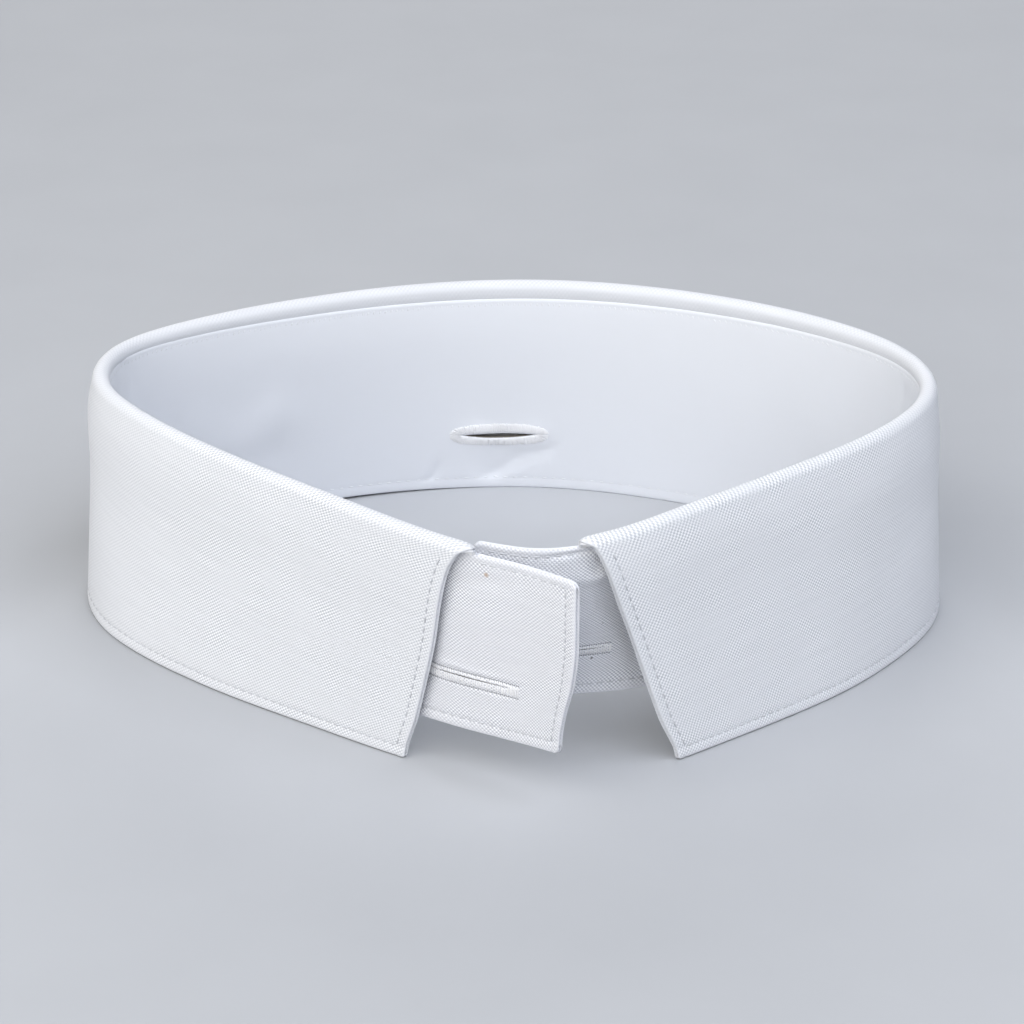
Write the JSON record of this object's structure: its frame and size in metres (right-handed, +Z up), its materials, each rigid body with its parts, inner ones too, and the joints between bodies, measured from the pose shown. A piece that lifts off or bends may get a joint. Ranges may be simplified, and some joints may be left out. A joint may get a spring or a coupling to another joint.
{
  "type": "starched turn-down clerical collar",
  "caption": "Detachable white cotton collar: a turned-down leaf on a neck band with buttonholed front tabs, open at the front, standing on its lower edge.",
  "frame": {"origin": "middle of the bounding box in plan, on the plane that the lower edges rest on", "axes": "+Z up the neck, -Y to the wearer's front where the collar opens, +Y to the centre back, +X to the right as seen from the front"},
  "size_m": [0.1654, 0.133, 0.0466],
  "materials": {
    "leaf_cotton": "bleached white cotton, starched and pressed, matt",
    "band_cotton": "bleached white cotton, starched and pressed, matt"
  },
  "bodies": {
    "root": {"leaf": "leaf_cotton", "band": "band_cotton"}
  },
  "joints": []
}
